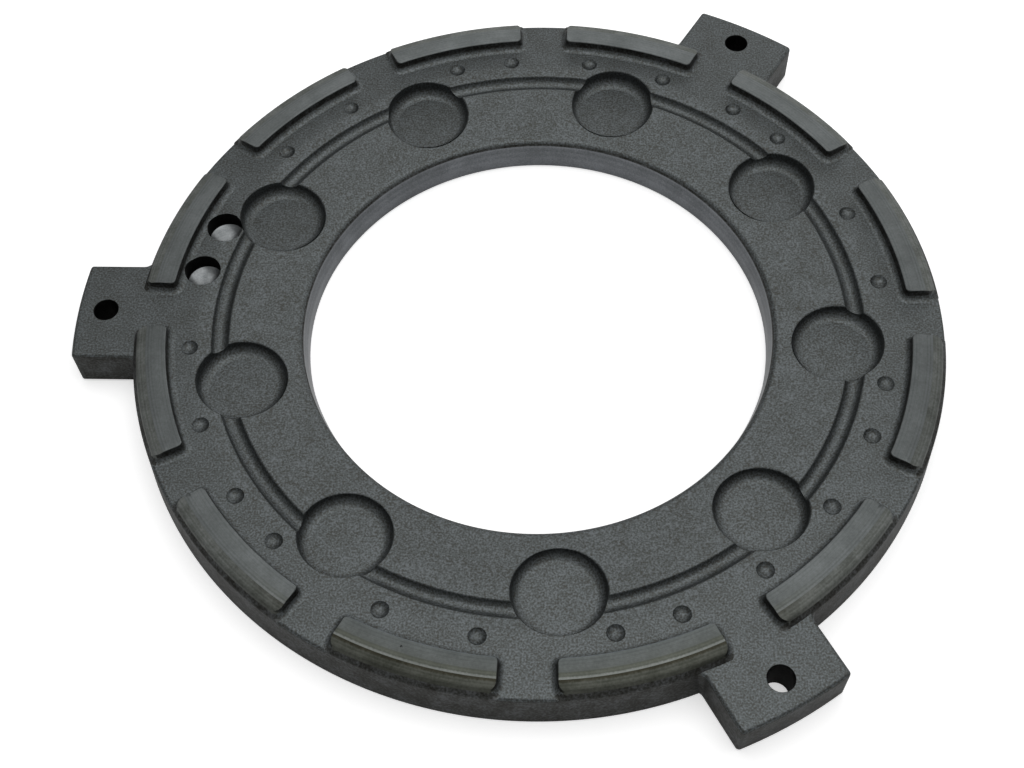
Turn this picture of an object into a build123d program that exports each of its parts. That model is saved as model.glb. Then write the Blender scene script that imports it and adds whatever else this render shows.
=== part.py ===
from build123d import *
import os
from math import cos, hypot, radians, sin, tan

# Clutch pressure plate: one machined grey-iron casting for a 430 mm truck clutch.
# Millimetres, +Z up. The origin is on the plate's axis, in the plane that the lug tops and the
# outer land share. The friction face is 24 mm below it and looks down.

# --- plate body ---
plate_thickness = 24.0       # land to friction face
rim_r = 216.0                # outer edge of the friction face
rim_top_r = 214.5            # rim side at the land, after its casting draft
friction_chamfer = 1.2       # turned chamfer round the friction face
bore_r = 124.0               # turned part of the bore
bore_turned_height = 7.5
bore_chamfer = 0.6
bore_step = 0.6              # the cast wall stands back from the turned cylinder
bore_lip_r = 126.6           # cast wall at the face, after its draft
bore_lip_round = 2.0

# --- dished face ---
dish_edge_r = 181.4          # inside this radius the face falls toward the bore
dish_angle = 6.08

# --- fulcrum ridge, in segments ---
ridge_count = 12
ridge_half_span = 10.8       # degrees either side of a segment's centre
ridge_height = 6.4
ridge_foot_r = 195.7         # inner wall at the land
ridge_core_r = 186.0         # the ring that the segments are cut from starts here
ridge_draft = 5.0
ridge_corner_chamfer = 1.8   # in plan, at the inner corners of each segment
ridge_foot_chamfer = 2.0
crest_outer_r = 203.0        # the flat crest ends and the narrow turned band starts
band_outer_r = 206.7
band_drop = 0.49
ridge_outer_r = 211.8        # the falling slope ends and the outer wall starts
ridge_outer_height = 4.4
ridge_flare_r = 212.3        # the outer wall starts to flare toward the rim side
ridge_flare_height = 2.2
ridge_root_depth = 2.5       # how far the ridge ring is let into the rim

# --- drive lugs ---
lug_count = 3
lug_first_angle = 60.0
lug_half_width = 29.9
lug_inner_r = 200.0          # hidden start of the lug block, inside the rim
lug_outer_r = 247.8
lug_thickness = 22.65
lug_corner_r = 2.5
lug_root_fillet = 9.0
lug_edge_chamfer = 1.0
lug_hole_pitch_r = 232.1
lug_hole_r = 6.55

# --- cast pockets ---
pocket_count = 9
pocket_first_angle = 35.0
pocket_pitch_r = 159.2
pocket_r = 23.8
pocket_floor_z = -10.2
pocket_draft = 3.0
pocket_floor_chamfer = 3.4

# --- annular groove ---
groove_pitch_r = 169.1
groove_half_width = 5.3
groove_floor_half_width = 1.9
groove_depth = 3.8

# --- dimples and balance drillings ---
mark_pitch_r = 184.8
dimple_r = 5.0
dimple_depth = 2.2
dimple_group_angles = (75.0, 195.0, 315.0)
dimple_offsets = (7.6, 22.1, 32.3, 52.5)
drill_places = ((184.4, 162.0), (185.4, 171.6))
drill_clear_angle = 2.0      # a dimple this near to a drilling is drilled away
drill_r = 9.7
drill_depth = 9.5
drill_point_angle = 118.0

clear = 3.0                  # how far a cutter runs past the face that it opens
cutter_r = 260.0             # outer reach of the blocks and cutters that run past the rim
face_tol = 0.1


def on_face(r, depth=0.0):
    """Section point at a radius, on the dished face or a depth below it."""
    return (r, (r - dish_edge_r) * tan(radians(dish_angle)) - depth)


def turned(outline):
    """One sixth of a ring, swept round the axis from a closed (radius, height) outline."""
    return revolve(Plane.XZ * make_face(outline), Axis.Z, revolution_arc=180 / lug_count)


def radius_of(shape):
    """Distance of a shape's centre from the axis."""
    middle = shape.center()
    return hypot(middle.X, middle.Y)


# One sixth of the plate, from a lug's centre line round to the middle of a plain gap. The plate is
# this sixth, mirrored and then turned to each lug.
body_corners = [
    (bore_r + bore_chamfer, -plate_thickness),
    (rim_r - friction_chamfer, -plate_thickness),
    (rim_r, friction_chamfer - plate_thickness),
    (rim_top_r, 0),
    (dish_edge_r, 0),
    on_face(groove_pitch_r + groove_half_width),
    on_face(groove_pitch_r + groove_floor_half_width, groove_depth),
    on_face(groove_pitch_r - groove_floor_half_width, groove_depth),
    on_face(groove_pitch_r - groove_half_width),
    on_face(bore_lip_r),
    (bore_r + bore_step, bore_turned_height + bore_step - plate_thickness),
    (bore_r, bore_turned_height - plate_thickness),
    (bore_r, bore_chamfer - plate_thickness),
]
corner_rounds = [bore_lip_round if corner[0] == bore_lip_r else 0.0 for corner in body_corners]
sixth = turned(FilletPolyline(*body_corners, radius=corner_rounds, close=True))

# Half of a lug: a block with a rounded outer corner, run into the rim with a wide fillet.
half_strip = Rectangle(cutter_r - lug_inner_r, lug_half_width, align=(Align.MIN, Align.MIN))
lug_plan = Pos(lug_inner_r, 0) * half_strip & Circle(lug_outer_r)
lug_plan = fillet(lug_plan.vertices().sort_by(lambda v: v.X * v.Y)[-1], lug_corner_r)
sixth += extrude(lug_plan, -lug_thickness)
upright = sixth.edges().filter_by(lambda e: 0 < e.center().Y < 2 * lug_half_width)
upright = upright.filter_by(lambda e: abs(e.length - lug_thickness) < face_tol)
sixth = fillet(upright.sort_by(radius_of)[0], lug_root_fillet)
top_edges = sixth.edges().filter_by(lambda e: abs(e.center().Z) < face_tol)
top_edges = top_edges.filter_by(lambda e: radius_of(e) > lug_inner_r and e.center().Y > face_tol)
sixth = chamfer(top_edges, lug_edge_chamfer)

# The ridge starts as a whole ring, let into the rim so that its outer wall is flush with the side.
rim_slope = (rim_r - rim_top_r) / (plate_thickness - friction_chamfer)
ridge_corners = [
    (ridge_core_r, -ridge_root_depth),
    (rim_top_r + rim_slope * ridge_root_depth, -ridge_root_depth),
    (rim_top_r, 0),
    (ridge_flare_r, ridge_flare_height),
    (ridge_outer_r, ridge_outer_height),
    (band_outer_r, ridge_height - band_drop),
    (crest_outer_r, ridge_height),
    (ridge_core_r, ridge_height),
]
sixth += turned(Polyline(*ridge_corners, close=True))

# One cutter clears the land inside the ridge and the gaps between the segments. Its drafted walls
# leave the segment walls, and its bevelled floor edge leaves the bevel at their foot.
gap_half_span = 180.0 / ridge_count - ridge_half_span
gap_reach = (cutter_r * cos(radians(gap_half_span)), cutter_r * sin(radians(gap_half_span)))
gap = make_face(Polyline((0, 0), gap_reach, (gap_reach[0], -gap_reach[1]), close=True))
pan_plan = Circle(ridge_foot_r) + [Rotation(0, 0, 360 / ridge_count * k) * gap for k in range(-1, 4)]
pan_corners = pan_plan.vertices().filter_by(lambda v: hypot(v.X, v.Y) < ridge_foot_r + face_tol)
pan_corners = pan_corners.filter_by(lambda v: hypot(v.X, v.Y) > ridge_core_r)
pan = extrude(chamfer(pan_corners, ridge_corner_chamfer), ridge_height + clear)
walls = pan.faces().filter_by(lambda f: abs(f.normal_at().Z) < face_tol)
pan = draft(walls.filter_by(lambda f: radius_of(f) < cutter_r - clear), Plane.XY, -ridge_draft)
floor_edges = pan.faces().sort_by(Axis.Z)[0].edges()
floor_edges = floor_edges.filter_by(lambda e: radius_of(e) < cutter_r - clear)
sixth -= chamfer(floor_edges, ridge_foot_chamfer)

third = sixth + mirror(sixth, Plane.XZ)
plate = Rotation(0, 0, lug_first_angle) * third
for step in range(1, lug_count):
    plate += Rotation(0, 0, lug_first_angle + 360 / lug_count * step) * third

# Cast pockets: drafted cups with a bevelled floor edge.
pocket_depth = clear - pocket_floor_z
cup = extrude(Circle(pocket_r), -pocket_depth, taper=pocket_draft)
cup = chamfer(cup.faces().sort_by(Axis.Z)[0].edges(), pocket_floor_chamfer)
for step in range(pocket_count):
    angle = pocket_first_angle + 360 / pocket_count * step
    plate -= Rotation(0, 0, angle) * Pos(pocket_pitch_r, 0, clear) * cup

# Shallow dimples in three groups of eight. Two of them were drilled out when the plate was balanced.
dimple_reach = 1 + clear / dimple_depth
dimple = Cone(
    0,
    dimple_r * dimple_reach,
    dimple_depth * dimple_reach,
    align=(Align.CENTER, Align.CENTER, Align.MIN),
)
drill_point = drill_r / tan(radians(drill_point_angle / 2))
drill_body = Cylinder(drill_r, drill_depth + clear, align=(Align.CENTER, Align.CENTER, Align.MIN))
drill_tip = Cone(0, drill_r, drill_point, align=(Align.CENTER, Align.CENTER, Align.MAX))
drill = Pos(0, 0, -drill_depth) * (drill_body + drill_tip)
for group_angle in dimple_group_angles:
    for offset in dimple_offsets:
        for angle in (group_angle - offset, group_angle + offset):
            if min(abs(angle - drilled) for _, drilled in drill_places) > drill_clear_angle:
                plate -= Rotation(0, 0, angle) * Pos(mark_pitch_r, 0, -dimple_depth) * dimple
for pitch_r, angle in drill_places:
    plate -= Rotation(0, 0, angle) * Pos(pitch_r, 0) * drill

# Plain through hole in each lug.
for step in range(lug_count):
    hole = Pos(lug_hole_pitch_r, 0) * Cylinder(lug_hole_r, 2 * plate_thickness)
    plate -= Rotation(0, 0, lug_first_angle + 360 / lug_count * step) * hole

plate = plate.solid()
plate.label = "pressure_plate_casting"
plate.color = Color(0.33, 0.34, 0.34)


os.makedirs("parts", exist_ok=True)
export_step(plate, "parts/pressure_plate_casting.step")
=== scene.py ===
from math import acos, asin, cos, degrees, hypot, radians, sin, sqrt, tan, tau

import bmesh
import bpy
from mathutils import Matrix, Vector


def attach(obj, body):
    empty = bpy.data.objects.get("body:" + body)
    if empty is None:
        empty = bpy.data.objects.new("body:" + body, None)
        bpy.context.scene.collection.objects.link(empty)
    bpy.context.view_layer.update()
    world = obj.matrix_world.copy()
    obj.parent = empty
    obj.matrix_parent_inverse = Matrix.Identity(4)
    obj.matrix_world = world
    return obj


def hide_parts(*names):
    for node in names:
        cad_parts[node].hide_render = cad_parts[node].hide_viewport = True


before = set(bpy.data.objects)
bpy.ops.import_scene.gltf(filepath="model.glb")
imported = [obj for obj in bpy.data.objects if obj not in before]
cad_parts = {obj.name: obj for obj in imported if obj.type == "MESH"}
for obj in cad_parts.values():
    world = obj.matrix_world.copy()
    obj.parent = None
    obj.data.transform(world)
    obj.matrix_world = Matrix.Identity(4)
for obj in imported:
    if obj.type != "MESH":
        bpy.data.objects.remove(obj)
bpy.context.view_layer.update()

# Clutch pressure plate, one grey-iron casting. Meshes are drawn in millimetres, on the plate's
# axis with the land at height 0, and shrunk to metres when they are finished.
MM = 0.001
ORIGIN, Y_AXIS, Z_AXIS = (0, 0, 0), (0, 1, 0), (0, 0, 1)
PLATE_STEPS = 360            # facets of everything that is turned on the plate's axis
CLEAR = 2.0                  # how far a cutter runs past the face that it opens
TOL = 0.01                   # places nearer than this are the same

# --- plate body ---
LAND_TO_FACE = 24.0          # thickness of the plate
RIM_R = 216.0                # outer edge of the friction face
RIM_TOP_R = 214.5            # rim side at the land, after its casting draft
RIM_ROUND = 1.8
FACE_CHAMFER = 1.2           # turned chamfer round the friction face
BORE_R = 124.0               # turned part of the bore
BORE_TURNED_Z = -16.5        # top of the turned part
BORE_CHAMFER = 0.6
BORE_STEP = 0.4              # the wall above stands back this far
BORE_STEP_Z = -14.4
BORE_LIP_R = 126.2           # the wall at the face, after its draft
BORE_LIP_ROUND = 2.6

# --- dished face and its groove ---
DISH_EDGE_R = 181.4          # inside this radius the face falls toward the bore
DISH_EDGE_ROUND = 1.5
DISH_ANGLE = radians(6.08)
DISH_SLOPE = tan(DISH_ANGLE)
GROOVE_R = 169.1
GROOVE_DEPTH = 3.85
GROOVE_FLOOR_ROUND = 4.5
GROOVE_LIP_ROUND = 1.3

# --- fulcrum ridge, in segments ---
RIDGE_COUNT = 12
RIDGE_HALF_SPAN = 11.2       # degrees either side of a segment's centre
RIDGE_HEIGHT = 6.4
RIDGE_FOOT_R = 195.7         # inner wall at the land, before its foot flares
RIDGE_MIDDLE_R = 205.0       # a width along the ridge is an angle at this radius
RIDGE_CORE_R = 190.0         # the ring that the segments are cut from starts here
RIDGE_ROOT = 2.5             # how far that ring is let into the rim
RIDGE_PROUD = 0.03           # and how far it covers the rim side
RIDGE_DRAFT = radians(5)
RIDGE_LIP_ROUND = 0.6
RIDGE_FOOT_ROUND = 3.9
RIDGE_INNER_CORNER = 1.6     # rounds of a segment's corners, seen from above
RIDGE_OUTER_CORNER = 4.0
CREST_OUTER_R = 203.0        # the flat crest ends and the narrow turned band starts
BAND_OUTER_R = 206.7         # the band ends and the falling slope starts
BAND_LOW = 5.91
SLOPE_OUTER_R = 211.8        # the slope ends and the outer wall starts
SLOPE_LOW = 4.4
SLOPE_EDGE_ROUND = 1.2
FLARE_R = 212.3              # the outer wall starts to flare toward the rim side
FLARE_Z = 2.2
FLARE_ROUND = 0.9
FLARE_FOOT_ROUND = 0.7
SHOULDER_R = SLOPE_OUTER_R - 0.2     # a segment's ends draw back from here out, at its outer corners
SHOULDER_ANGLE = 2.2         # degrees that they draw back by
PAN_MARGIN = 1.2             # the pan that cuts the segments starts this far past their nominal foot
PAN_TOP_Z = 10.0
PAN_OUTER_R = 260.0
PAN_END_Z = -3.0
FOOT_RUN_OUT = 0.35          # the foot's round thins out to the land over this width

# --- drive lugs ---
LUG_ANGLES = (60, 180, 300)
LUG_HALF = 29.9
LUG_R = 247.6
LUG_INNER_R = 200.0          # hidden start of a lug's block, inside the rim
LUG_INNER_END = ((206, 36, 0), (LUG_INNER_R, 30, 0), (LUG_INNER_R, 0, 0))
LUG_THICKNESS = 22.65
LUG_ROOT_ROUND = 4.5
LUG_ROOT_TURN = 80           # degrees of that round, which then runs into the rim
LUG_CORNER_ROUND = 1.7
LUG_TOP_ROUND = 2.0
LUG_HOLE_R = 6.55
LUG_HOLE_CHAMFER = 0.3
LUG_HOLE_PITCH = 232.1
LUG_HOLE_END_Z = -30.0       # the hole's cutter ends here, below the lug

# --- cast pockets ---
POCKET_COUNT = 9
POCKET_FIRST_ANGLE = 35
POCKET_PITCH = 159.2
POCKET_R = 23.52
POCKET_FLOOR_Z = -10.2
POCKET_DRAFT = tan(radians(3.5))
POCKET_FLOOR_ROUND = 5.4
POCKET_LIP_ROUND = 0.9
POCKET_LIP_TURN = 80         # degrees of that round
POCKET_RIM_DEPTH = 1.5       # a cup's rim follows the dished face down to this depth

# --- dimples, a casting pit and balance drillings ---
DIMPLE_PITCH = 184.8
DIMPLE_GROUPS = (75, 195, 315)
DIMPLE_OFFSETS = (7.6, 22.1, 32.3, 52.5)
DIMPLE_SHIFT = 1.2           # three dimples, between the next two angles, are cast this far out of step
SHIFTED_FROM, SHIFTED_TO = 80, 110
# Bowl and pit are sections of (radius, height), from the axis of each outwards and back above it.
DIMPLE_SECTION = ((1.3, -2.0), (2.4, -1.72), (3.3, -1.25), (3.95, -0.7), (4.35, -0.25), (4.6, 0.05),
                  (5.0, 1), (0, 1))
DIMPLE_DEPTH = 2.1
PIT_PITCH, PIT_ANGLE = 200.4, 253
PIT_SECTION = ((0.35, -0.75), (0.55, -0.1), (0.65, 0.5), (0, 0.5))
PIT_DEPTH = 0.9
DRILLINGS = ((184.4, 162.0), (185.4, 171.6))     # pitch radius and angle of each
DRILL_R = 9.7
DRILL_DEPTH = 9.5
DRILL_POINT = 5.83
DRILL_CLEAR_ANGLE = 2        # a dimple this near to a drilling is drilled away

# --- limits between finishes, for the middle of a face ---
FACED_Z = 0.7 - LAND_TO_FACE     # the friction face and its chamfer are below this
BORED_Z = -9.8               # the bore's wall is below this, and its round lip above
CREST_Z = 5.5                # the crest, its lip and the band are above this
WORN_EDGE = 1.5              # width of the slope's round edge, which is worn as the slope is
RIM_ZONE_R = 205.0           # walls outside this radius get the darker skin of dirt and painted shade, also below the land
OFF_LAND = 0.02              # further than this from height 0, a face isn't on the land
MARGIN = 0.1
FLAT, LEANING, STEEP = 0.9, 0.7, 0.4     # upward part of a face's normal
SHARP_ANGLE = radians(32)    # an edge sharper than this isn't shaded smooth
STRAY = 0.8                  # how far the grain moves the edge of a tinted zone
STAIN_AND_LIGHT_STARTS_Y, STAIN_AND_LIGHT_FULL_Y = -150, -185     # only the segments about -Y get these tints: stain, with painted shade and a painted highlight

# --- floor, light and camera ---
FLOOR_HALF = 4000            # half of the floor's side
FLOOR_DROP = 0.05            # keeps it off the friction face
PAPER_LIFT = 0.5             # light that the camera alone sees on the floor
WORLD_STRENGTH = 0.35
LAMP_DISTANCE = 1.5          # metres from the plate's centre to each softbox
VIEW_AZIMUTH = 3.8           # degrees round the plate, from looking along +Y
VIEW_ELEVATION = 57.80
VIEW_ROLL = -2.47
VIEW_DISTANCE = 761.8
VIEW_TARGET = (-14.84, -41.53, -2.3)     # before the view turns round the plate


# --- tools for drawing ---
def run(bm, tip, *points):
    """Straight edges from a vertex through the points; gives the last vertex."""
    for point in points:
        end = bm.verts.new(point)
        bm.edges.new((tip, end))
        tip = end
    return tip


def section(bm, tip, *points):
    """Straight edges from a vertex through (radius, height) points; gives the last vertex."""
    return run(bm, tip, *[(r, 0, z) for r, z in points])


def verts_in(geometry):
    """The vertices in an operator's mixed result."""
    return [item for item in geometry if isinstance(item, bmesh.types.BMVert)]


def arc(bm, tip, centre, axis, turn, steps):
    """Edges along an arc from a vertex, through a turn in degrees; gives the last vertex."""
    swept = bmesh.ops.spin(bm, geom=[tip], cent=centre, axis=axis, angle=radians(turn), steps=steps)
    return verts_in(swept["geom_last"])[0]


def bevel(bm, geometry, affect, reach, segments):
    """Rounds the given vertices or edges."""
    bmesh.ops.bevel(bm, geom=geometry, affect=affect, offset=reach, segments=segments, profile=0.5,
                    material=-1)


def round_at(bm, r, z, reach, segments):
    """Rounds the section's corner that is nearest to a (radius, height)."""
    corner = min(bm.verts, key=lambda v: hypot(v.co.x - r, v.co.z - z))
    bevel(bm, [corner], "VERTICES", reach, segments)


def lathe(bm, steps):
    """Turns the section about Z into a closed skin."""
    bmesh.ops.remove_doubles(bm, verts=bm.verts, dist=0.001)
    bmesh.ops.spin(bm, geom=bm.verts[:] + bm.edges[:], cent=ORIGIN, axis=Z_AXIS, angle=tau, steps=steps,
                   use_merge=True)
    bmesh.ops.remove_doubles(bm, verts=bm.verts, dist=0.0005)
    bmesh.ops.recalc_face_normals(bm, faces=bm.faces)


def turned_copies(bm, angles):
    """Repeats the whole mesh at each angle about the plate's axis; the first drawn one is replaced."""
    first = bm.verts[:] + bm.edges[:] + bm.faces[:]
    for angle in angles:
        made = bmesh.ops.duplicate(bm, geom=first)["geom"]
        bmesh.ops.rotate(bm, cent=ORIGIN, matrix=Matrix.Rotation(radians(angle), 3, "Z"),
                         verts=verts_in(made))
    bmesh.ops.delete(bm, geom=first, context="VERTS")


def as_object(bm, name):
    """Makes the drawn mesh an object of the scene."""
    mesh = bpy.data.meshes.new(name)
    bm.to_mesh(mesh)
    bm.free()
    piece = bpy.data.objects.new(name, mesh)
    bpy.context.scene.collection.objects.link(piece)
    return piece


def combine(target, tool, operation):
    """Joins or cuts with an exact boolean that is applied at once; the tool is used up."""
    step = target.modifiers.new("combine", "BOOLEAN")
    step.solver = "EXACT"
    step.operation = operation
    step.object = tool
    evaluated = target.evaluated_get(bpy.context.evaluated_depsgraph_get())
    shape = bpy.data.meshes.new_from_object(evaluated)
    target.modifiers.clear()
    target.data = shape
    bpy.data.objects.remove(tool)


# --- body of the plate, without ridges or lugs ---
def on_face(r):
    """Height of the dished face at a radius."""
    return (r - DISH_EDGE_R) * DISH_SLOPE


def by_face(along, out):
    """A point of the section measured from the groove's middle, along the face and out from it."""
    return (GROOVE_R + along * cos(DISH_ANGLE) - out * sin(DISH_ANGLE), 0,
            on_face(GROOVE_R) + along * sin(DISH_ANGLE) + out * cos(DISH_ANGLE))


def draw_body():
    """One closed section, turned: friction face, rim, land, dished face with its groove, and bore."""
    bm = bmesh.new()
    tip = start = bm.verts.new((BORE_R + BORE_CHAMFER, 0, -LAND_TO_FACE))
    tip = section(bm, tip, (RIM_R - FACE_CHAMFER, -LAND_TO_FACE), (RIM_R, FACE_CHAMFER - LAND_TO_FACE),
                  (RIM_TOP_R, 0), (DISH_EDGE_R, 0))
    both_rounds = GROOVE_FLOOR_ROUND + GROOVE_LIP_ROUND
    lean = acos((both_rounds - GROOVE_DEPTH) / both_rounds)
    half_width = both_rounds * sin(lean)
    turn = degrees(lean)
    tip = run(bm, tip, by_face(half_width, 0))
    tip = arc(bm, tip, by_face(half_width, -GROOVE_LIP_ROUND), Y_AXIS, -turn, steps=5)
    tip = arc(bm, tip, by_face(0, GROOVE_FLOOR_ROUND - GROOVE_DEPTH), Y_AXIS, 2 * turn, steps=16)
    tip = arc(bm, tip, by_face(-half_width, -GROOVE_LIP_ROUND), Y_AXIS, -turn, steps=5)
    tip = section(bm, tip, (BORE_LIP_R, on_face(BORE_LIP_R)), (BORE_R + BORE_STEP, BORE_STEP_Z),
                  (BORE_R, BORE_TURNED_Z), (BORE_R, BORE_CHAMFER - LAND_TO_FACE))
    bm.edges.new((tip, start))
    round_at(bm, RIM_TOP_R, 0, RIM_ROUND, segments=4)
    round_at(bm, DISH_EDGE_R, 0, DISH_EDGE_ROUND, segments=2)
    round_at(bm, BORE_LIP_R, on_face(BORE_LIP_R), BORE_LIP_ROUND, segments=6)
    lathe(bm, PLATE_STEPS)
    return as_object(bm, "pressure_plate")


# --- drive lugs ---
def draw_lugs():
    """Half a plan, mirrored and extruded down, with round plan corners and a round top edge."""
    bm = bmesh.new()
    tip = arc(bm, bm.verts.new((LUG_R, 0, 0)), ORIGIN, Z_AXIS, degrees(asin(LUG_HALF / LUG_R)), steps=8)
    corner = tip.co.copy()
    root_y = LUG_HALF + LUG_ROOT_ROUND
    root_x = sqrt((RIM_TOP_R + LUG_ROOT_ROUND) ** 2 - root_y ** 2)
    tip = run(bm, tip, (root_x, LUG_HALF, 0))
    tip = arc(bm, tip, (root_x, root_y, 0), Z_AXIS, -LUG_ROOT_TURN, steps=8)
    run(bm, tip, *LUG_INNER_END)
    bmesh.ops.mirror(bm, geom=bm.verts[:] + bm.edges[:], matrix=Matrix.Identity(4), merge_dist=0.001,
                     axis="Y")
    bmesh.ops.remove_doubles(bm, verts=bm.verts, dist=0.001)
    bmesh.ops.contextual_create(bm, geom=bm.edges[:])
    corners = [v for v in bm.verts if hypot(v.co.x - corner.x, abs(v.co.y) - corner.y) < TOL]
    bevel(bm, corners, "VERTICES", LUG_CORNER_ROUND, segments=5)
    lower = bmesh.ops.extrude_face_region(bm, geom=bm.faces[:])["geom"]
    bmesh.ops.translate(bm, vec=(0, 0, -LUG_THICKNESS), verts=verts_in(lower))
    bmesh.ops.recalc_face_normals(bm, faces=bm.faces)
    top = [e for e in bm.edges if all(abs(v.co.z) < TOL for v in e.verts) and
           min(v.co.x for v in e.verts) > LUG_INNER_R + TOL]
    bevel(bm, top, "EDGES", LUG_TOP_ROUND, segments=4)
    turned_copies(bm, LUG_ANGLES)
    return as_object(bm, "lugs")


# --- fulcrum ridge: a whole ring, cut into segments by one tapering pan ---
def draw_ridge_ring():
    """The ring's closed section, turned: root in the rim, outer wall, slope, band and crest."""
    rim_slope = (RIM_R - RIM_TOP_R) / (LAND_TO_FACE - FACE_CHAMFER)
    bm = bmesh.new()
    tip = start = bm.verts.new((RIDGE_CORE_R, 0, -RIDGE_ROOT))
    tip = section(bm, tip, (RIM_TOP_R + RIDGE_ROOT * rim_slope + RIDGE_PROUD, -RIDGE_ROOT),
                  (RIM_TOP_R + RIDGE_PROUD, 0), (FLARE_R, FLARE_Z), (SLOPE_OUTER_R, SLOPE_LOW),
                  (BAND_OUTER_R, BAND_LOW), (CREST_OUTER_R, RIDGE_HEIGHT), (RIDGE_CORE_R, RIDGE_HEIGHT))
    bm.edges.new((tip, start))
    round_at(bm, SLOPE_OUTER_R, SLOPE_LOW, SLOPE_EDGE_ROUND, segments=4)
    round_at(bm, FLARE_R, FLARE_Z, FLARE_ROUND, segments=4)
    round_at(bm, RIM_TOP_R + RIDGE_PROUD, 0, FLARE_FOOT_ROUND, segments=4)
    lathe(bm, PLATE_STEPS)
    return as_object(bm, "ridges")


def pan_outline(bm):
    """The pan's plan, as one face: the land inside the ridge and the gaps between its segments."""
    pitch = 360 / RIDGE_COUNT
    foot = RIDGE_FOOT_R + PAN_MARGIN
    half_span = RIDGE_HALF_SPAN - degrees(PAN_MARGIN / RIDGE_MIDDLE_R)
    gap = pitch - 2 * half_span
    start = Matrix.Rotation(radians(pitch / 2 - half_span), 3, "Z") @ Vector((foot, 0, 0))
    tip = arc(bm, bm.verts.new(start), ORIGIN, Z_AXIS, 2 * half_span, steps=22)
    tip = run(bm, tip, tip.co * SHOULDER_R / foot)
    tip = arc(bm, tip, ORIGIN, Z_AXIS, -SHOULDER_ANGLE, steps=2)
    tip = run(bm, tip, tip.co * PAN_OUTER_R / SHOULDER_R)
    tip = arc(bm, tip, ORIGIN, Z_AXIS, gap + 2 * SHOULDER_ANGLE, steps=4)
    tip = run(bm, tip, tip.co * SHOULDER_R / PAN_OUTER_R)
    tip = arc(bm, tip, ORIGIN, Z_AXIS, -SHOULDER_ANGLE, steps=2)
    run(bm, tip, tip.co * foot / SHOULDER_R)
    bmesh.ops.spin(bm, geom=bm.verts[:] + bm.edges[:], cent=ORIGIN, axis=Z_AXIS, angle=tau,
                   steps=RIDGE_COUNT, use_duplicate=True, use_merge=True)
    bmesh.ops.remove_doubles(bm, verts=bm.verts, dist=TOL)
    bmesh.ops.contextual_create(bm, geom=bm.edges[:])

    def corners_at(radius, other_radius):
        """The vertices at a radius whose edge runs straight in or out to another radius."""
        return [v for v in bm.verts if abs(v.co.xy.length - radius) < TOL and
                any(abs(e.other_vert(v).co.xy.length - other_radius) < TOL for e in v.link_edges)]

    inner, outer = corners_at(foot, SHOULDER_R), corners_at(SHOULDER_R, foot)
    bevel(bm, inner, "VERTICES", RIDGE_INNER_CORNER, segments=5)
    bevel(bm, outer, "VERTICES", RIDGE_OUTER_CORNER, segments=8)


def pan_levels():
    """The outline's reach past the nominal foot, and its height, from the top down: above the crest,
    round the segments' lip, down their drafted wall, round their foot and on below the land."""
    lip_z = RIDGE_HEIGHT - RIDGE_LIP_ROUND
    levels = [(PAN_MARGIN, RIDGE_HEIGHT + 2 * TOL)]
    levels += [(lip_z * tan(RIDGE_DRAFT) + RIDGE_LIP_ROUND * (1 - cos(radians(turn))),
                lip_z + RIDGE_LIP_ROUND * sin(radians(turn))) for turn in (75, 50, 25, 0)]
    foot_start = RIDGE_FOOT_ROUND * (1 - sin(RIDGE_DRAFT)) * tan(RIDGE_DRAFT)
    levels += [(foot_start - RIDGE_FOOT_ROUND * (cos(RIDGE_DRAFT) - cos(RIDGE_DRAFT + radians(turn))),
                RIDGE_FOOT_ROUND * (1 - sin(RIDGE_DRAFT + radians(turn)))) for turn in range(0, 85, 10)]
    foot_end = levels[-1][0] - FOOT_RUN_OUT
    return levels + [(foot_end, -TOL), (foot_end - TOL / 10, PAN_END_Z)]


def draw_pan():
    """The outline, inset level by level on its way down, and closed at the top."""
    bm = bmesh.new()
    pan_outline(bm)
    bmesh.ops.translate(bm, vec=(0, 0, PAN_TOP_Z), verts=bm.verts)
    bottom = bm.faces[:]
    if bottom[0].normal.z > 0:
        bmesh.ops.reverse_faces(bm, faces=bottom)
    reach, height = PAN_MARGIN, PAN_TOP_Z
    for next_reach, next_height in pan_levels():
        bmesh.ops.inset_region(bm, faces=bottom, thickness=max(reach - next_reach, 0.0005),
                               depth=height - next_height, use_even_offset=True, use_boundary=True)
        reach, height = next_reach, next_height
    bmesh.ops.contextual_create(bm, geom=[e for e in bm.edges if e.is_boundary])
    bmesh.ops.recalc_face_normals(bm, faces=bm.faces)
    return as_object(bm, "pan")


# --- cutters for the pockets, dimples, pit, drillings and lug holes ---
def add_cutter(cutters, bm, pitch, angles, height=0, *, steps, tilt_above=None):
    """Turns a section into a plug, moves it to its pitch radius and repeats it at the angles.
    What is above a height in it follows the slope of the dished face."""
    lathe(bm, steps)
    if tilt_above is not None:
        slope = Matrix(((1, 0, 0), (0, 1, 0), (DISH_SLOPE, 0, 1)))
        bmesh.ops.transform(bm, matrix=slope.to_4x4(), verts=[v for v in bm.verts if v.co.z > tilt_above])
    bmesh.ops.translate(bm, vec=(pitch, 0, height), verts=bm.verts)
    turned_copies(bm, angles)
    plug = bpy.data.meshes.new("plug")
    bm.to_mesh(plug)
    bm.free()
    cutters.from_mesh(plug)


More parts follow.
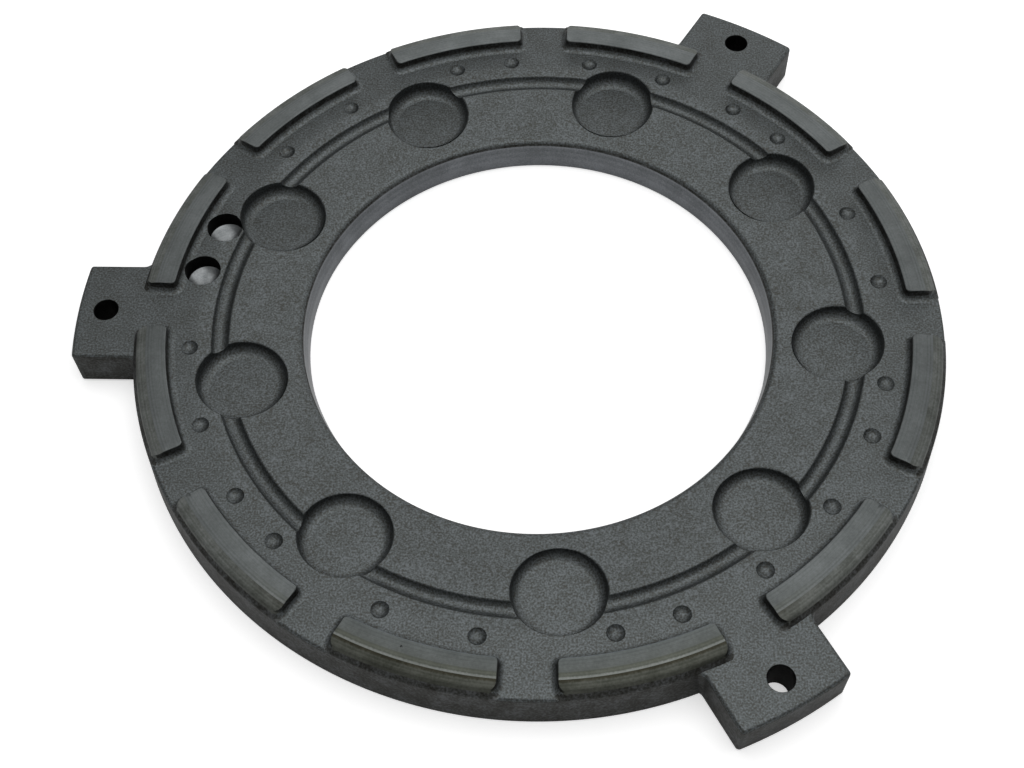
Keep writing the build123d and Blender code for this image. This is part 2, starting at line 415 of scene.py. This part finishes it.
def add_pockets(cutters):
    """Drafted cups with a round floor edge and lip."""
    face_z = on_face(POCKET_PITCH)
    floor_z = POCKET_FLOOR_Z - face_z
    floor_r = POCKET_R + floor_z * POCKET_DRAFT
    bm = bmesh.new()
    tip = section(bm, bm.verts.new((0, 0, floor_z)), (floor_r, floor_z), (POCKET_R, -POCKET_LIP_ROUND))
    tip = arc(bm, tip, (POCKET_R + POCKET_LIP_ROUND, 0, -POCKET_LIP_ROUND), Y_AXIS, POCKET_LIP_TURN,
              steps=4)
    section(bm, tip, (tip.co.x, CLEAR), (0, CLEAR))
    round_at(bm, floor_r, floor_z, POCKET_FLOOR_ROUND, segments=9)
    angles = [POCKET_FIRST_ANGLE + 360 / POCKET_COUNT * k for k in range(POCKET_COUNT)]
    add_cutter(cutters, bm, POCKET_PITCH, angles, face_z, steps=96, tilt_above=-POCKET_RIM_DEPTH)


def add_dimples(cutters):
    """Shallow bowls in three groups of eight, without the two that are drilled away."""
    angles = [group + side * offset for group in DIMPLE_GROUPS for offset in DIMPLE_OFFSETS
              for side in (-1, 1)]
    angles = [angle - DIMPLE_SHIFT if SHIFTED_FROM < angle < SHIFTED_TO else angle for angle in angles]
    angles = [angle for angle in angles
              if min(abs(angle - drill_angle) for _, drill_angle in DRILLINGS) > DRILL_CLEAR_ANGLE]
    bm = bmesh.new()
    section(bm, bm.verts.new((0, 0, -DIMPLE_DEPTH)), *DIMPLE_SECTION)
    add_cutter(cutters, bm, DIMPLE_PITCH, angles, steps=32)


def add_lug_holes(cutters):
    """Plain through holes with a small chamfer at the top."""
    lip_r = LUG_HOLE_R + LUG_HOLE_CHAMFER
    bm = bmesh.new()
    section(bm, bm.verts.new((0, 0, LUG_HOLE_END_Z)), (LUG_HOLE_R, LUG_HOLE_END_Z),
            (LUG_HOLE_R, -LUG_HOLE_CHAMFER), (lip_r, 0), (lip_r, CLEAR), (0, CLEAR))
    add_cutter(cutters, bm, LUG_HOLE_PITCH, LUG_ANGLES, steps=48)


def add_pit(cutters):
    """One small casting pit in the crest."""
    bm = bmesh.new()
    section(bm, bm.verts.new((0, 0, -PIT_DEPTH)), *PIT_SECTION)
    add_cutter(cutters, bm, PIT_PITCH, [PIT_ANGLE], RIDGE_HEIGHT, steps=12)


def add_drillings(cutters):
    """Two blind drillings with a drill's pointed floor, made when the plate was balanced."""
    for pitch, angle in DRILLINGS:
        bm = bmesh.new()
        section(bm, bm.verts.new((0, 0, -DRILL_DEPTH - DRILL_POINT)), (DRILL_R, -DRILL_DEPTH),
                (DRILL_R, CLEAR), (0, CLEAR))
        add_cutter(cutters, bm, pitch, [angle], steps=64)


# --- put the casting together ---
plate = draw_body()
lugs = draw_lugs()
ridges = draw_ridge_ring()
combine(ridges, draw_pan(), "DIFFERENCE")
combine(plate, lugs, "UNION")
combine(plate, ridges, "UNION")

cutters = bmesh.new()
add_pockets(cutters)
add_dimples(cutters)
add_lug_holes(cutters)
add_pit(cutters)
combine(plate, as_object(cutters, "cutters"), "DIFFERENCE")
# One drilling runs into a pocket, so the drillings are cut on their own.
drills = bmesh.new()
add_drillings(drills)
combine(plate, as_object(drills, "drills"), "DIFFERENCE")

# --- finishes, by place ---
CAST, GRIMY_AND_SHADED, TURNED, SLOPE, BORED, DRILLED, HOLE_WALL_SHADE = range(7)


def place_at(pitch, angle):
    """The place on the land at a pitch radius and an angle."""
    return Matrix.Rotation(radians(angle), 3, "Z") @ Vector((pitch, 0, 0))


hole_places = [place_at(LUG_HOLE_PITCH, angle) for angle in LUG_ANGLES]
drill_places = [place_at(pitch, angle) for pitch, angle in DRILLINGS]


def within(place, centres, reach):
    """Whether a place is nearer than the reach to one of the centres, seen from above."""
    return any((place.xy - centre.xy).length < reach for centre in centres)


def finish_of(face):
    """Which finish a face has, from where it is on the casting."""
    place, upright = face.calc_center_median(), face.normal.z
    r, z = place.xy.length, place.z
    if z < FACED_Z or r < BORE_LIP_R and z < BORED_Z:
        return BORED
    # The bore's upper wall and lip take the darker skin: dirt and painted shade.
    if r < BORE_LIP_R + MARGIN and upright < LEANING:
        return GRIMY_AND_SHADED
    # Walls of the drillings and lug holes are near black, painted shade in the holes; their pointed floors
    # are bright cut.
    if z < -OFF_LAND and (within(place, drill_places, DRILL_R + MARGIN / 2) or
                          within(place, hole_places, LUG_HOLE_R + LUG_HOLE_CHAMFER + MARGIN / 2)):
        return DRILLED if z < MARGIN - DRILL_DEPTH and upright > STEEP else HOLE_WALL_SHADE
    if z > CREST_Z and r < BAND_OUTER_R + MARGIN:
        return TURNED
    if z > SLOPE_LOW - MARGIN and upright > FLAT or z > FLARE_Z - MARGIN and r > SLOPE_OUTER_R - WORN_EDGE:
        return SLOPE
    # Steep walls above the land or near the rim, and the ridge's outer wall, take the darker skin: dirt and
    # painted shade.
    if upright < STEEP and (z > OFF_LAND or r > RIM_ZONE_R) or z > OFF_LAND and r > SLOPE_OUTER_R:
        return GRIMY_AND_SHADED
    return CAST


plate.data.materials.clear()     # before the faces get their finishes, which it would reset
bm = bmesh.new()
bm.from_mesh(plate.data)
bmesh.ops.remove_doubles(bm, verts=bm.verts, dist=0.002)
bmesh.ops.dissolve_degenerate(bm, edges=bm.edges, dist=0.002)
for face in bm.faces:
    face.smooth = True
    face.material_index = finish_of(face)
for edge in bm.edges:
    edge.smooth = not (edge.is_manifold and edge.calc_face_angle(0) > SHARP_ANGLE)
bmesh.ops.scale(bm, vec=(MM, MM, MM), verts=bm.verts)
bm.to_mesh(plate.data)
bm.free()
plate.modifiers.new("weighted", "WEIGHTED_NORMAL").keep_sharp = True


# --- tools for materials ---
def colour(code):
    """An sRGB hex colour as linear red, green, blue and alpha."""
    parts = [int(code[i:i + 2], 16) / 255 for i in (0, 2, 4)]
    return (*[c / 12.92 if c <= 0.04045 else ((c + 0.055) / 1.055) ** 2.4 for c in parts], 1)


def node(tree, kind, settings=None, links=None, stops=()):
    """Adds a node; settings are attributes or input values by name or number, links are output
    sockets, and stops are the places and hex colours of a ramp."""
    made = tree.nodes.new(kind)
    for key, value in (settings or {}).items():
        if isinstance(key, str) and hasattr(made, key):
            setattr(made, key, value)
        else:
            made.inputs[key].default_value = value
    for key, socket in (links or {}).items():
        tree.links.new(socket, made.inputs[key])
    for number, (place, code) in enumerate(stops):
        stop = made.color_ramp.elements[number] if number < 2 else made.color_ramp.elements.new(place)
        stop.position = place
        stop.color = colour(code)
    return made


def bare_material(name):
    """A new material with an empty node tree."""
    made = bpy.data.materials.new(name)
    made.use_nodes = True
    made.node_tree.nodes.clear()
    return made


def stain_and_painted_light(tree, tone, where, radius, grain, zones, clean):
    """Tints a tone by radius on the segments about -Y, and with one clean colour elsewhere. The tints are
    stain, with painted shade and a painted highlight.
    """
    first, last = zones[0][0], zones[-1][0]
    strayed = node(tree, "ShaderNodeMath", {"operation": "MULTIPLY_ADD", 1: STRAY * MM},
                   {0: grain, 2: radius})
    across = node(tree, "ShaderNodeMapRange",
                  {"From Min": (first + STRAY / 2) * MM, "From Max": (last + STRAY / 2) * MM},
                  {"Value": strayed.outputs[0]})
    zone = node(tree, "ShaderNodeValToRGB", links={"Fac": across.outputs["Result"]},
                stops=[((r - first) / (last - first), code) for r, code in zones])
    apart = node(tree, "ShaderNodeSeparateXYZ", links={0: where})
    share = node(tree, "ShaderNodeMapRange", {"From Min": STAIN_AND_LIGHT_STARTS_Y * MM, "From Max": STAIN_AND_LIGHT_FULL_Y * MM},
                 {"Value": apart.outputs["Y"]})
    # Inputs 6 and 7 of a colour mix are its two colours, and output 2 is the mixed one.
    tint = node(tree, "ShaderNodeMix", {"data_type": "RGBA", 6: colour(clean)},
                {0: share.outputs["Result"], 7: zone.outputs["Color"]})
    product = node(tree, "ShaderNodeVectorMath", {"operation": "MULTIPLY"}, {0: tone, 1: tint.outputs[2]})
    return product.outputs["Vector"]


def iron(name, tones, grain, mottle, rings=(1, 0), spread=0.14, roughness=0.5, relief=0.3, zones=(),
         clean=None, lay=0.0):
    """Grey iron. Its grain, mottle and turning rings are each (size in mm, weight), and their sum picks
    a tone: the middle one at 0.5, the dark and the light one a spread to either side. The relief is in
    mm. The zones tint it by radius in mm on the segments about -Y, and the clean colour tints the rest.
    The lay is how far the turning rings draw a gleam out across themselves."""
    made = bare_material(name)
    tree = made.node_tree
    where = node(tree, "ShaderNodeTexCoord").outputs["Object"]
    flat = node(tree, "ShaderNodeVectorMath", {"operation": "MULTIPLY", 1: (1, 1, 0)}, {0: where})
    outward = flat.outputs["Vector"]
    radius = node(tree, "ShaderNodeVectorMath", {"operation": "LENGTH"}, {0: outward}).outputs["Value"]
    grain_mark, mottle_mark, ring_mark = [
        node(tree, "ShaderNodeTexNoise", {"noise_dimensions": kind, "Scale": 1 / (size * MM), "Detail": 2},
             {socket: source}).outputs["Fac"]
        for (size, _), kind, socket, source in (
            (grain, "3D", "Vector", where), (mottle, "3D", "Vector", where), (rings, "1D", "W", radius))]
    level = node(tree, "ShaderNodeMath", {"operation": "MULTIPLY", 1: grain[1]}, {0: grain_mark})
    for mark, (_, weight) in ((mottle_mark, mottle), (ring_mark, rings)):
        level = node(tree, "ShaderNodeMath", {"operation": "MULTIPLY_ADD", 1: weight},
                     {0: mark, 2: level.outputs[0]})
    stops = list(zip((0.5 - spread, 0.5, 0.5 + spread), tones))
    tone = node(tree, "ShaderNodeValToRGB", links={"Fac": level.outputs[0]}, stops=stops).outputs["Color"]
    if zones:
        tone = stain_and_painted_light(tree, tone, where, radius, grain_mark, zones, clean)
    bump = node(tree, "ShaderNodeBump", {"Strength": 0.5, "Distance": relief * MM},
                {"Height": level.outputs[0]})
    shader = node(tree, "ShaderNodeBsdfPrincipled",
                  {"Metallic": 1.0, "Roughness": roughness, "Anisotropic": lay},
                  {"Base Color": tone, "Normal": bump.outputs["Normal"], "Tangent": outward})
    node(tree, "ShaderNodeOutputMaterial", links={"Surface": shader.outputs[0]})
    return made


# --- materials of the casting ---
# Sand-cast skin: dull mid grey with a salt-and-pepper grain and soft cloudy patches.
cast = iron("grey_iron_sand_cast", ("474744", "565a5a", "686c6e"), grain=(1.0, 0.84), mottle=(12, 0.16))

# The same skin, darker and browner, on the rim side, the ridge's walls and the bore's lip: dirt and scale,
# and painted shade on these steep walls.
grimy_and_shaded = iron("grey_iron_cast_skin_grime_and_painted_shade", ("302f2c", "444543", "5a5c5d"), grain=(1.3, 0.6),
             mottle=(9, 0.4), roughness=0.55, relief=0.35)

# Turned crest and band: smoother and lighter, with fine rings that draw each gleam out across them.
# They are drawn 0.8 mm apart; true ones are too fine to show. On the segments about -Y the crest is a little
# darker, an olive stain deepens along the band, and a light line at its outer edge is a painted highlight.
turned = iron("grey_iron_turned_ridge", ("727677", "7f8384", "8c9092"), grain=(1.2, 0.3),
              mottle=(12, 0.4), rings=(0.8, 0.3), roughness=0.45, relief=0.03, lay=0.9, clean="d2d3d1",
              zones=((195, "cad0d3"), (196.2, "cad0d3"), (197, "b9bbb8"), (203.0, "b8b9b4"),
                     (203.8, "aeae9f"), (205.3, "b4b4a6"), (205.9, "e6e5dc"), (206.5, "f6f5ed"),
                     (207.0, "b4b2a4")))

# Slope outside the band: cast skin worn half smooth. On the segments about -Y a dark line follows the
# band and the rest is darker and faintly olive, painted shade with a little olive stain; elsewhere it is
# clean.
slope = iron("grey_iron_skin_worn", ("565955", "676a67", "787b79"), grain=(1.3, 0.35),
             mottle=(10, 0.45), rings=(0.8, 0.2), relief=0.1, lay=0.85, clean="ffffff",
             zones=((206.5, "9d9786"), (207.5, "9d9786"), (208.4, "c4c3b9"), (213, "c0bfb6")))

# Bored and faced surfaces: fresh bright cut, with close rings that are drawn 0.6 mm apart.
bored = iron("grey_iron_fresh_turned", ("595c5e", "6a6d70", "7c7f83"), grain=(1.0, 0.4),
             mottle=(14, 0.3), rings=(0.6, 0.3), spread=0.15, roughness=0.3, relief=0.05)

# Pointed floors of the drillings: fresh bright cut, which gleams in patches.
drilled = iron("grey_iron_drilled", ("5c5f60", "6e7172", "808384"), grain=(0.8, 0.35),
               mottle=(6, 0.65), spread=0.15, roughness=0.3, relief=0.05)

# Walls of the drillings and lug holes: near black, painted shade deep in the holes.
hole_wall_shade = iron("grey_iron_hole_wall_painted_shade", ("161615", "1f1f1e", "2a2a2a"), grain=(1.0, 0.6),
              mottle=(6, 0.4), relief=0.05)

for finish in (cast, grimy_and_shaded, turned, slope, bored, drilled, hole_wall_shade):
    plate.data.materials.append(finish)

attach(plate, "root")
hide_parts("pressure_plate_casting")

# --- floor ---
bm = bmesh.new()
bmesh.ops.create_grid(bm, x_segments=1, y_segments=1, size=FLOOR_HALF)
bmesh.ops.translate(bm, vec=(0, 0, -LAND_TO_FACE - FLOOR_DROP), verts=bm.verts)
bmesh.ops.scale(bm, vec=(MM, MM, MM), verts=bm.verts)
floor = as_object(bm, "floor")

# Matt white paper. The camera alone sees it lifted to white, so it lights nothing; shadow stays on it.
paper = bare_material("matt_white_paper_floor")
tree = paper.node_tree
matt = node(tree, "ShaderNodeBsdfPrincipled", {"Base Color": colour("f4f4f4"), "Roughness": 0.9})
seen = node(tree, "ShaderNodeLightPath").outputs["Is Camera Ray"]
lift = node(tree, "ShaderNodeMath", {"operation": "MULTIPLY", 1: PAPER_LIFT}, {0: seen})
glow = node(tree, "ShaderNodeEmission", {"Color": (1, 1, 1, 1)}, {"Strength": lift.outputs[0]})
both = node(tree, "ShaderNodeAddShader", links={0: matt.outputs[0], 1: glow.outputs[0]})
node(tree, "ShaderNodeOutputMaterial", links={"Surface": both.outputs[0]})
floor.data.materials.append(paper)

# --- light ---
world = bpy.data.worlds.new("studio")
bpy.context.scene.world = world
world.use_nodes = True
backdrop = world.node_tree.nodes["Background"]
backdrop.inputs["Color"].default_value = (1, 1, 1, 1)
backdrop.inputs["Strength"].default_value = WORLD_STRENGTH


def add_softbox(name, width, height, energy, azimuth, elevation):
    """A rectangular lamp in metres and watts, aimed at the plate from a direction in degrees."""
    lamp = bpy.data.lights.new(name, "AREA")
    lamp.shape = "RECTANGLE"
    lamp.size = height
    lamp.size_y = width
    lamp.energy = energy
    softbox = bpy.data.objects.new(name, lamp)
    softbox.matrix_world = (Matrix.Rotation(radians(azimuth), 4, "Z") @
                            Matrix.Rotation(radians(90 - elevation), 4, "Y") @
                            Matrix.Translation((0, 0, LAMP_DISTANCE)))
    bpy.context.scene.collection.objects.link(softbox)


add_softbox("overhead_softbox", width=2.0, height=1.6, energy=14, azimuth=50, elevation=82)
add_softbox("low_far_strip_light", width=2.2, height=0.4, energy=5, azimuth=62, elevation=20)

# --- camera ---
lens = bpy.data.cameras.new("camera")
lens.sensor_width = 36
lens.lens = 51.56
lens.clip_start = 0.01
camera = bpy.data.objects.new("camera", lens)
bpy.context.scene.collection.objects.link(camera)
around = Matrix.Rotation(radians(VIEW_AZIMUTH), 4, "Z")
facing = (around @ Matrix.Rotation(radians(90 - VIEW_ELEVATION), 4, "X") @
          Matrix.Rotation(radians(VIEW_ROLL), 4, "Z"))
eye = around @ Vector(VIEW_TARGET) + facing.to_3x3() @ Vector((0, 0, VIEW_DISTANCE))
camera.matrix_world = Matrix.Translation(eye * MM) @ facing
bpy.context.scene.camera = camera
bpy.context.scene.view_settings.view_transform = "Standard"
